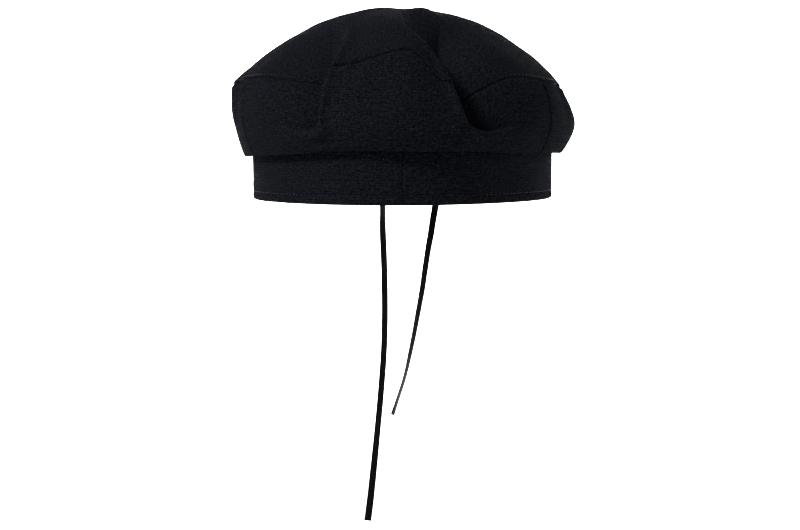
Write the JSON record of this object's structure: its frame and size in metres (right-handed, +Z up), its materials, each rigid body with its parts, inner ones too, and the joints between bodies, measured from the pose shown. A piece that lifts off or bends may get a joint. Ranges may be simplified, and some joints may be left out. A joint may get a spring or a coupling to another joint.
{
  "type": "sailor cap",
  "caption": "Soft black sailor cap: a round top sewn to a puffed side ring with pinched folds, on a plain head band, with narrow ribbons hanging at the back.",
  "frame": {"origin": "middle of the head opening, level with the lower edge of the band, where the cap sits on a head", "axes": "+Z up through the crown, -Y out of the cap's front, +X to the right as the front is looked at"},
  "size_m": [0.2053, 0.2278, 0.3241],
  "materials": {
    "cloth": "matt black cotton canvas, woven",
    "ribbon": "black satin ribbon, soft sheen"
  },
  "bodies": {
    "root": {"top_panel": "cloth", "side_panel_front": "cloth", "side_panel_back": "cloth", "band_left": "cloth", "band_right": "cloth", "ribbon_long": "ribbon", "ribbon_short": "ribbon"}
  },
  "joints": []
}
